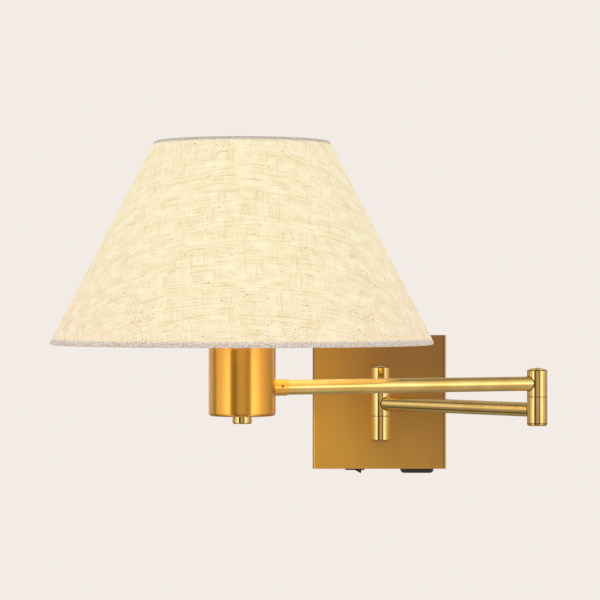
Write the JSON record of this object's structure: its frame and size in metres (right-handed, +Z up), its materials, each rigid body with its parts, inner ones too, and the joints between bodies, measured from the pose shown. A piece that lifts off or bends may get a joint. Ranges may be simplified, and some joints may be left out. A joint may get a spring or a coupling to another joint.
{
  "type": "swing arm wall sconce",
  "caption": "Wall light with a square backplate, two jointed tube arms, a cylindrical cup and a linen cone shade, with a rocker switch and a charging port.",
  "frame": {"origin": "centre of the backplate's back, on the wall", "axes": "+X right across the wall, +Y into the wall, +Z up"},
  "size_m": [0.4037, 0.4439, 0.2817],
  "materials": {
    "satin_bronze": "satin, warm",
    "satin_gold": "satin, warm gold",
    "pale_brass": "polished, pale",
    "zinc_steel": "zinc plated",
    "green_zinc": "green passivated",
    "black_steel": "blackened",
    "white_wire": "white, semi-gloss",
    "dark_plastic": "fine matt",
    "white_plastic": "smooth",
    "tinned_metal": "bright",
    "contact_brass": "bright",
    "nylon": "natural nylon",
    "rubber": "matt",
    "lead_jacket": "smooth",
    "ceramic": "unglazed",
    "phenolic": "gloss",
    "opal": "opal, lit from inside",
    "linen": "slubbed linen",
    "rim_cloth": "rolled linen tape",
    "liner": "translucent styrene"
  },
  "bodies": {
    "wall_base": {"backplate_cover": "satin_bronze", "mounting_bracket": "zinc_steel", "cover_screws": "zinc_steel", "ground_screw": "green_zinc", "terminal_block": "ceramic", "terminal_screws": "zinc_steel", "switch_housing": "dark_plastic", "switch_terminals": "tinned_metal", "usb_bezel": "dark_plastic", "usb_housing": "white_plastic", "usb_shells": "tinned_metal", "usb_tongues": "dark_plastic", "hinge_post_upper": "pale_brass", "hinge_post_lower": "pale_brass", "post_washers": "zinc_steel", "post_nuts": "zinc_steel", "wall_knuckle_upper": "pale_brass", "wall_knuckle_lower": "pale_brass", "wall_cap_upper": "pale_brass", "wall_cap_lower": "pale_brass", "wall_pivot": "zinc_steel", "wall_washers": "nylon", "wall_lead": "lead_jacket"},
    "switch_rocker": {"switch_rocker": "dark_plastic"},
    "lower_arm": {"lower_arm_wall_knuckle": "pale_brass", "lower_arm_tube": "pale_brass", "lower_arm_grommets": "rubber", "lower_arm_lead": "lead_jacket", "elbow_lower_knuckle": "pale_brass", "elbow_lower_cap": "pale_brass", "elbow_pivot": "zinc_steel", "elbow_washer": "nylon", "elbow_nut": "zinc_steel"},
    "upper_arm": {"elbow_upper_knuckle": "pale_brass", "elbow_upper_cap": "pale_brass", "upper_arm_tube": "pale_brass", "upper_arm_grommets": "rubber", "upper_arm_lead": "lead_jacket", "arm_ferrule": "satin_gold", "ferrule_screw": "black_steel", "socket_cup": "satin_gold", "finial_nut": "pale_brass", "cup_nipple": "zinc_steel", "nipple_locknut": "zinc_steel", "lampholder_base": "phenolic", "lampholder_body": "phenolic", "lampholder_shell": "contact_brass", "lampholder_contact": "contact_brass", "bulb_cap": "tinned_metal", "bulb_housing": "white_plastic", "bulb_globe": "opal", "shade_ring_nut": "phenolic", "shade_spider": "white_wire", "shade_liner": "liner", "shade_fabric": "linen", "shade_bottom_rim": "rim_cloth", "shade_top_rim": "rim_cloth", "shade_bottom_wire": "white_wire", "shade_top_wire": "white_wire"}
  },
  "joints": [
    {"name": "wall_swing", "type": "hinge", "parent": "wall_base", "child": "lower_arm", "pos_m": [0, -0.055, 0], "axis": [0, 0, 1], "range_deg": [-134, 46]},
    {"name": "elbow_swing", "type": "hinge", "parent": "lower_arm", "child": "upper_arm", "pos_m": [0.12643, -0.18592, 0.011], "axis": [0, 0, 1], "range_deg": [-9.6, 230.4]},
    {"name": "switch_rock", "type": "hinge", "parent": "wall_base", "child": "switch_rocker", "pos_m": [-0.022, -0.0125, -0.06053], "axis": [0, 1, 0], "range_deg": [-28, 0]}
  ]
}
